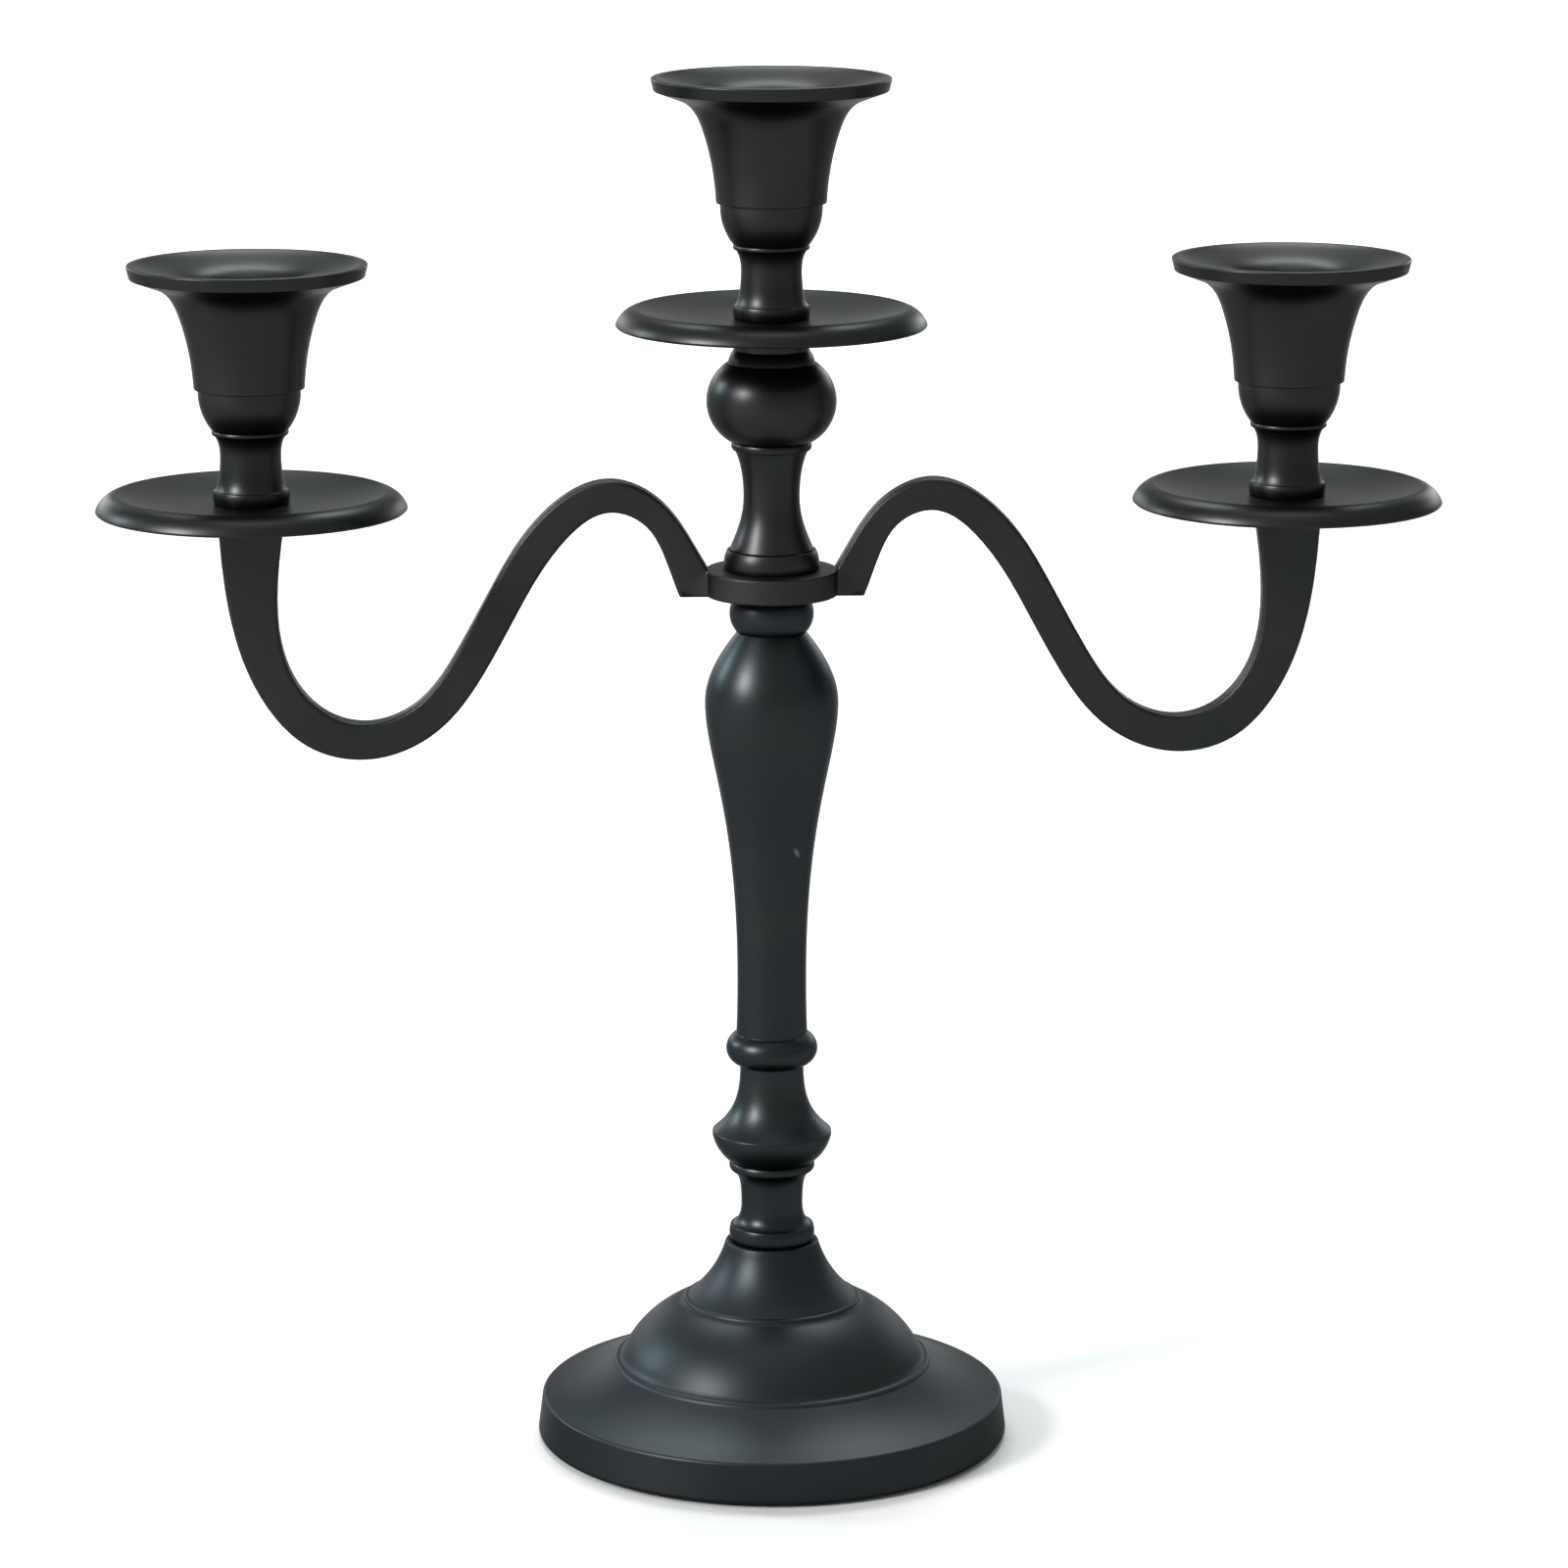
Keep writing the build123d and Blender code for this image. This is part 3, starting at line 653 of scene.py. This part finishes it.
def ring_faces(rings, steps, closed):
    """Four-sided faces between neighbouring rings, and between the last and the first if they close."""
    faces = []
    for ring in range(rings if closed else rings - 1):
        here = ring * steps
        there = (ring + 1) % rings * steps
        for step in range(steps):
            following = (step + 1) % steps
            faces.append((here + step, here + following, there + following, there + step))
    return faces


def welded(name, corners, faces, fill_ends=False):
    """A mesh with doubled points welded, its ends closed if wanted, and its faces turned outward."""
    mesh = bpy.data.meshes.new(name)
    mesh.from_pydata(corners, [], faces)
    work = bmesh.new()
    work.from_mesh(mesh)
    bmesh.ops.remove_doubles(work, verts=work.verts, dist=WELD_GAP)
    if fill_ends:
        bmesh.ops.dissolve_degenerate(work, edges=work.edges, dist=SLIVER)
        bmesh.ops.holes_fill(work, edges=work.edges, sides=0)
    bmesh.ops.recalc_face_normals(work, faces=work.faces)
    open_edges = sum(not edge.is_manifold for edge in work.edges)
    work.to_mesh(mesh)
    work.free()
    print(name, len(mesh.polygons), "faces,", open_edges, "open edges")
    return mesh


foot_radius = max(point.x for point in foot_points)
print("the foot gets", steps_round(foot_radius), "steps round")

# %% [markdown]
# ## The foot and the column
# From the stepped foot up to the ball, the column is a stack of pieces that were each turned on their
# own, so each is spun from its own outline. They could stay as the CAD gave them, but knife edges catch
# no light. A new piece rides on the body of the CAD piece that it replaces, which is hidden. Weighted
# normals keep the flat faces flat right up to their eased edges.

# %% Spin the foot and the column
EASE = 0.00022
FOOT_EASE = 0.0007


def add_piece(mesh, node, finish, axis_x=0.0, even_normals=True):
    """A new piece that stands for a CAD node, with its finish, body and material slot."""
    mesh.materials.append(finish)
    mesh.polygons.foreach_set("use_smooth", [True] * len(mesh.polygons))
    piece = bpy.data.objects.new(mesh.name, mesh)
    scene.collection.objects.link(piece)
    piece.location.x = axis_x
    if even_normals:
        piece.modifiers.new("even_normals", "WEIGHTED_NORMAL")
    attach(piece, body_of_node[node])
    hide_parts(node)


def spun(name, node, finish, ease=EASE):
    """A turned CAD piece, spun again from its own outline with eased edges."""
    points, closed, axis_x = turned_outline(node)
    points = finer(eased(filled(points, closed), closed, ease), closed)
    count = steps_round(max(point.x for point in points))
    angles = [2 * math.pi * step / count for step in range(count)]
    corners = [(p.x * math.cos(a), p.x * math.sin(a), p.y) for p in points for a in angles]
    mesh = welded(name, corners, ring_faces(len(points), count, closed))
    add_piece(mesh, node, finish, axis_x)


spun("base_foot_coated", "base_foot", foot_coat, ease=FOOT_EASE)
coat_of_node = {"lower_spool": column_coat, "knop": column_coat, "shaft": shaft_coat, "bead": column_coat}
coat_of_node.update({"clamp_ring": cup_coat, "upper_spool": cup_coat, "ball": cup_coat})
for node, coat in coat_of_node.items():
    spun(node + "_coated", node, coat)

# %% [markdown]
# ## Candle places
# The three candle places are the same pan, neck and cup, each on its own axis. They could be copies of
# one set, but one loop that reads each from its own CAD piece keeps every place exact. The cup's rim
# and the pan's lip are the edges that the light finds first.

# %% Spin the pans, necks and cups
SIDES = ("left", "centre", "right")

for side in SIDES:
    for kind in ("drip_pan", "neck", "candle_cup"):
        node = side + "_" + kind
        spun(node + "_coated", node, cup_coat)

# %% [markdown]
# ## The arm yoke
# The arms and their ring are one flat sand casting. It could be rebuilt as the turned pieces were, but
# its outline and rounded edges come from the CAD solid as they are. So the CAD piece stays, and only
# its shading is put in order: its faces are welded, and weighted normals let the flat sides stay flat
# beside the rounded edges.

# %% Finish the arm yoke
YOKE_WELD_GAP = 1e-6

yoke = frame["nodes"]["arm_yoke"]
weld = yoke.modifiers.new("weld", "WELD")
weld.merge_threshold = YOKE_WELD_GAP
yoke.data.polygons.foreach_set("use_smooth", [True] * len(yoke.data.polygons))
yoke.modifiers.new("even_normals", "WEIGHTED_NORMAL")
yoke.data.materials.clear()
yoke.data.materials.append(cast_coat)
print("yoke", len(yoke.data.polygons), "faces")

# %% [markdown]
# ## Threads
# A screw thread is a ridge wound round a rod. Spinning an outline can't make it, because the outline
# has to climb as it turns, and a bump would leave the silhouette smooth. Here the rows of the mesh
# climb instead: one turn round, each row arrives exactly at the row one pitch above, so a single sheet
# of faces winds all the way up. Heights are held between the rod's two ends, where the radius also
# tapers to a small bevel, as on a cut rod.

# %% Cut the threads
ROD_PITCH = 0.0010
STUD_PITCH = 0.0005
THREAD_STEPS = 28
THREAD_FORM = ((0.0, 0.0), (0.12, 0.0), (0.44, 1.0), (0.68, 1.0))
THREAD_DEPTH = 0.6


def thread_corners(rows, pitch, low, high):
    """Points along each climbing row, held between the rod's ends."""
    crest = (high.x - low.x) / 2
    root = crest - THREAD_DEPTH * pitch
    corners = []
    for row, lift in rows:
        for step in range(THREAD_STEPS):
            share = step / THREAD_STEPS
            height = min(max(low.z + row + share * pitch, low.z), high.z)
            from_end = min(height - low.z, high.z - height)
            radius = min(root + lift * (crest - root), root + from_end)
            angle = 2 * math.pi * share
            corners.append((radius * math.cos(angle), radius * math.sin(angle), height))
    return corners


def thread_faces(rows):
    """Faces between neighbouring rows, where a row's end goes on to the row one turn above."""
    per_turn = len(THREAD_FORM)
    faces = []
    for row in range(len(rows) - 1):
        for step in range(THREAD_STEPS):
            here = row * THREAD_STEPS + step
            if step < THREAD_STEPS - 1:
                onward = here + 1
            elif row + per_turn + 1 < len(rows):
                onward = (row + per_turn) * THREAD_STEPS
            else:
                continue
            faces.append((here, onward, onward + THREAD_STEPS, here + THREAD_STEPS))
    return faces


def threaded(name, node, pitch):
    """A threaded rod in the place of a plain CAD one."""
    low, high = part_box(node)
    turns = range(-1, math.ceil((high.z - low.z) / pitch) + 1)
    rows = [((turn + share) * pitch, lift) for turn in turns for share, lift in THREAD_FORM]
    corners = thread_corners(rows, pitch, low, high)
    mesh = welded(name, corners, thread_faces(rows), fill_ends=True)
    add_piece(mesh, node, zinc, axis_between(low, high))


threaded("tie_rod_threaded", "tie_rod", ROD_PITCH)
for side in SIDES:
    threaded(side + "_stud_threaded", side + "_stud", STUD_PITCH)

# %% [markdown]
# ## Nut
# The nut is a six-sided bar whose corners are turned away at both ends. It could be cut from a block
# with a cone, but such cuts leave ragged faces. Instead each step round it has its own distance to the
# flat, and its own height at which the turned cone meets that flat, which draws the curved corners by
# itself.

# %% Make the nut
NUT_STEPS = 96
NUT_CONE = math.tan(math.radians(30))
NUT_FACE = 0.97
NUT_COUNTERSINK = 0.0004
NUT_PLAY = 0.00005
HALF_SIDE = math.pi / 6


def hex_nut(name, node, bore):
    """A six-sided nut with its corners turned away."""
    low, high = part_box(node)
    flat = (high.y - low.y) / 2
    face = NUT_FACE * flat
    mouth = bore + NUT_COUNTERSINK
    corners = []
    for step in range(NUT_STEPS):
        angle = 2 * math.pi * step / NUT_STEPS
        from_flat = (angle + HALF_SIDE) % (2 * HALF_SIDE) - HALF_SIDE
        reach = flat / math.cos(from_flat)
        fall = (reach - face) * NUT_CONE
        rows = [(mouth, low.z), (face, low.z), (reach, low.z + fall)]
        rows += [(reach, high.z - fall), (face, high.z), (mouth, high.z)]
        rows += [(bore, high.z - NUT_COUNTERSINK), (bore, low.z + NUT_COUNTERSINK)]
        corners += [(r * math.cos(angle), r * math.sin(angle), z) for r, z in rows]
    rows_each = len(corners) // NUT_STEPS
    mesh = welded(name, corners, ring_faces(NUT_STEPS, rows_each, closed=True))
    add_piece(mesh, node, zinc, even_normals=False)
    mesh.set_sharp_from_angle(angle=SHARP)


rod_low, rod_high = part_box("tie_rod")
hex_nut("foot_nut_turned", "foot_nut", (rod_high.x - rod_low.x) / 2 + NUT_PLAY)

# %% [markdown]
# ## Washer and pad
# The washer under the nut is stamped from sheet, and the pad that closes the foot is punched from foam.
# Both are round, so the lathe step serves them as well. The foam only needs a softer edge, because it
# gives under the punch.

# %% Spin the washer and the pad
PAD_EASE = 0.0005

spun("foot_washer_turned", "foot_washer", zinc)
spun("base_pad_foam", "base_pad", foam, ease=PAD_EASE)
